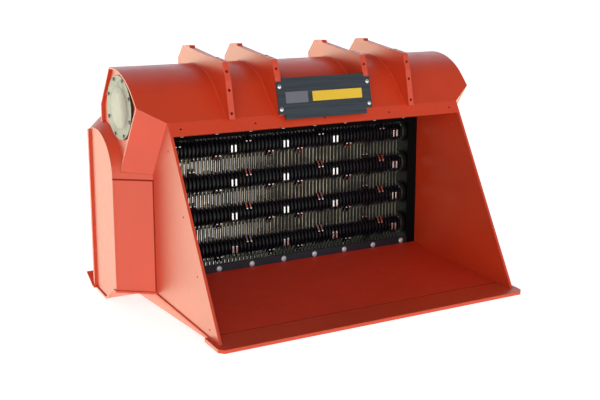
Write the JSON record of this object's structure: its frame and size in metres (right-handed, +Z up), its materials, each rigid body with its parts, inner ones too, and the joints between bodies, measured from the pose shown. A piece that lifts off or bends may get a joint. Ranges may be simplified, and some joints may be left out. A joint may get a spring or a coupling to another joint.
{
  "type": "padding_bucket",
  "caption": "Excavator padding bucket: open-backed orange-red bucket closed by a black comb with a stack of driven hammer drums, under a boxed beam with hitch ears and side drive cases.",
  "frame": {"origin": "middle of the footprint, on the ground the runners stand on", "axes": "X across the bucket (symmetry plane X = 0), Y from the mouth to the rear, Z up"},
  "size_m": [2.418, 1.549, 1.494],
  "materials": {
    "paint": "satin orange-red machine paint, sun-faded on faces",
    "black_paint": "satin black paint",
    "navy_paint": "satin dark blue paint",
    "sign_blue": "satin blue-grey paint",
    "enamel": "smooth enamel",
    "bare_cover": "pale primer over plate",
    "zinc": "zinc plated",
    "machined": "machined",
    "chain_steel": "oiled steel",
    "cast": "as cast, primed",
    "hard_tip": "bare hard steel, worn bright"
  },
  "bodies": {
    "bucket": {"side_plates": "paint", "floor_plate": "paint", "cutting_edge": "paint", "skid_runners": "paint", "beam_shell": "paint", "beam_back": "paint", "beam_floor": "paint", "lip_bar": "paint", "end_plates": "paint", "covers": "bare_cover", "cover_bolts": "zinc", "corner_plates": "paint", "case_flanks": "paint", "case_roofs": "paint", "case_covers": "paint", "case_bottoms": "paint", "hitch_ears": "paint", "sign_plate": "sign_blue", "sign_panels": "enamel", "sign_bolts": "zinc", "frame_strips": "black_paint", "bottom_rail": "navy_paint", "top_rail": "black_paint", "rail_bolts": "zinc", "bearing_plates": "black_paint", "comb_bars": "black_paint", "bearing_housings": "cast", "housing_bolts": "zinc", "drive_chains": "chain_steel", "motors": "cast", "motor_flanges": "cast", "hose_block": "machined", "hose_ports": "zinc"},
    "motor_left": {"motor_shaft_left": "machined"},
    "motor_right": {"motor_shaft_right": "machined"},
    "drum_1": {"drum_1_core": "black_paint", "drum_1_blades": "black_paint", "drum_1_tips": "hard_tip", "drum_1_sprockets": "chain_steel"},
    "drum_2": {"drum_2_core": "black_paint", "drum_2_blades": "black_paint", "drum_2_tips": "hard_tip", "drum_2_sprockets": "chain_steel"},
    "drum_3": {"drum_3_core": "black_paint", "drum_3_blades": "black_paint", "drum_3_tips": "hard_tip", "drum_3_sprockets": "chain_steel"},
    "drum_4": {"drum_4_core": "black_paint", "drum_4_blades": "black_paint", "drum_4_tips": "hard_tip", "drum_4_sprockets": "chain_steel"}
  },
  "joints": [
    {"name": "drum_1_spin", "type": "hinge", "parent": "bucket", "child": "drum_1", "pos_m": [0, 0.4305, 0.8575], "axis": [1, 0, 0], "continuous": true},
    {"name": "drum_2_spin", "type": "hinge", "parent": "bucket", "child": "drum_2", "pos_m": [0, 0.4305, 0.643], "axis": [1, 0, 0], "continuous": true},
    {"name": "drum_3_spin", "type": "hinge", "parent": "bucket", "child": "drum_3", "pos_m": [0, 0.4305, 0.4285], "axis": [1, 0, 0], "continuous": true},
    {"name": "drum_4_spin", "type": "hinge", "parent": "bucket", "child": "drum_4", "pos_m": [0, 0.4305, 0.214], "axis": [1, 0, 0], "continuous": true},
    {"name": "motor_left_spin", "type": "hinge", "parent": "bucket", "child": "motor_left", "pos_m": [-0.984, 0.2305, 1.172], "axis": [1, 0, 0], "continuous": true},
    {"name": "motor_right_spin", "type": "hinge", "parent": "bucket", "child": "motor_right", "pos_m": [0.984, 0.2305, 1.172], "axis": [1, 0, 0], "continuous": true}
  ],
  "couplings": [
    {"joint": "drum_2_spin", "follows": "drum_1_spin", "ratio": 1},
    {"joint": "drum_3_spin", "follows": "drum_1_spin", "ratio": 1},
    {"joint": "drum_4_spin", "follows": "drum_1_spin", "ratio": 1},
    {"joint": "motor_left_spin", "follows": "drum_1_spin", "ratio": 1},
    {"joint": "motor_right_spin", "follows": "drum_1_spin", "ratio": 1}
  ]
}
